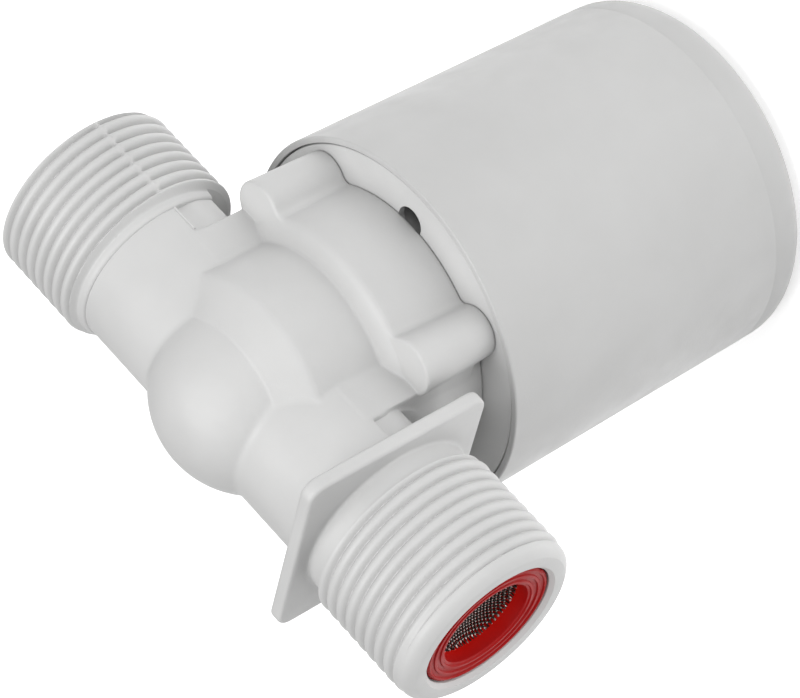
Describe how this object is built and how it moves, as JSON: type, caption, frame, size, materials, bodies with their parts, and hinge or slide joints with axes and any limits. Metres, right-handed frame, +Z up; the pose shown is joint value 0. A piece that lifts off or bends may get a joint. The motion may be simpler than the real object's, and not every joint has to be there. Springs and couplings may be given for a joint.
{
  "type": "float valve",
  "caption": "White plastic tank float valve: in-line male-threaded ports, domed diaphragm body, enclosed float in a cylindrical can, red inlet strainer.",
  "frame": {"origin": "centre of the can's flat base", "axes": "+Z up from the can's base to the dome, +X along the port axis towards the inlet with the strainer, +Y across the ports on the side of the cover's vent hole"},
  "size_m": [0.0824, 0.051, 0.0872],
  "materials": {
    "white_plastic": "slightly rough moulded ABS",
    "red_plastic": "moulded, semi-gloss",
    "mesh_steel": "woven stainless wire",
    "stainless": "drawn stainless wire and screws",
    "black_rubber": "moulded nitrile",
    "grey_acetal": "moulded acetal",
    "float_plastic": "moulded polypropylene"
  },
  "bodies": {
    "valve": {"valve_body": "white_plastic", "strainer_frame": "red_plastic", "strainer_mesh": "mesh_steel", "main_diaphragm": "black_rubber", "diaphragm_spring": "stainless", "bleed_pin": "stainless", "cover_plate": "white_plastic", "pilot_nozzle": "grey_acetal", "cover_screws": "stainless", "lever_pin": "stainless", "float_cup": "white_plastic"},
    "float": {"float_shell": "float_plastic", "float_lid": "float_plastic", "float_stem": "grey_acetal", "link_pin": "stainless"},
    "lever": {"pilot_lever": "grey_acetal", "pilot_pad": "black_rubber"},
    "diaphragm": {"diaphragm_core": "grey_acetal", "diaphragm_guide": "grey_acetal", "core_screw": "stainless"}
  },
  "joints": [
    {"name": "float_lift", "type": "slide", "parent": "valve", "child": "float", "axis": [0, 0, 1], "range_m": [0, 0.00277]},
    {"name": "lever_swing", "type": "hinge", "parent": "valve", "child": "lever", "pos_m": [-0.016, 0, 0.0436], "axis": [0, -1, 0], "range_deg": [0, 10]},
    {"name": "diaphragm_lift", "type": "slide", "parent": "valve", "child": "diaphragm", "axis": [0, 0, -1], "range_m": [0, 0.0022], "stiffness_N_per_m": 150, "springref_m": -0.004, "deforming": ["main_diaphragm", "diaphragm_spring"]}
  ],
  "couplings": [
    {"joint": "lever_swing", "follows": "float_lift", "rad_per_m": 62.8}
  ]
}
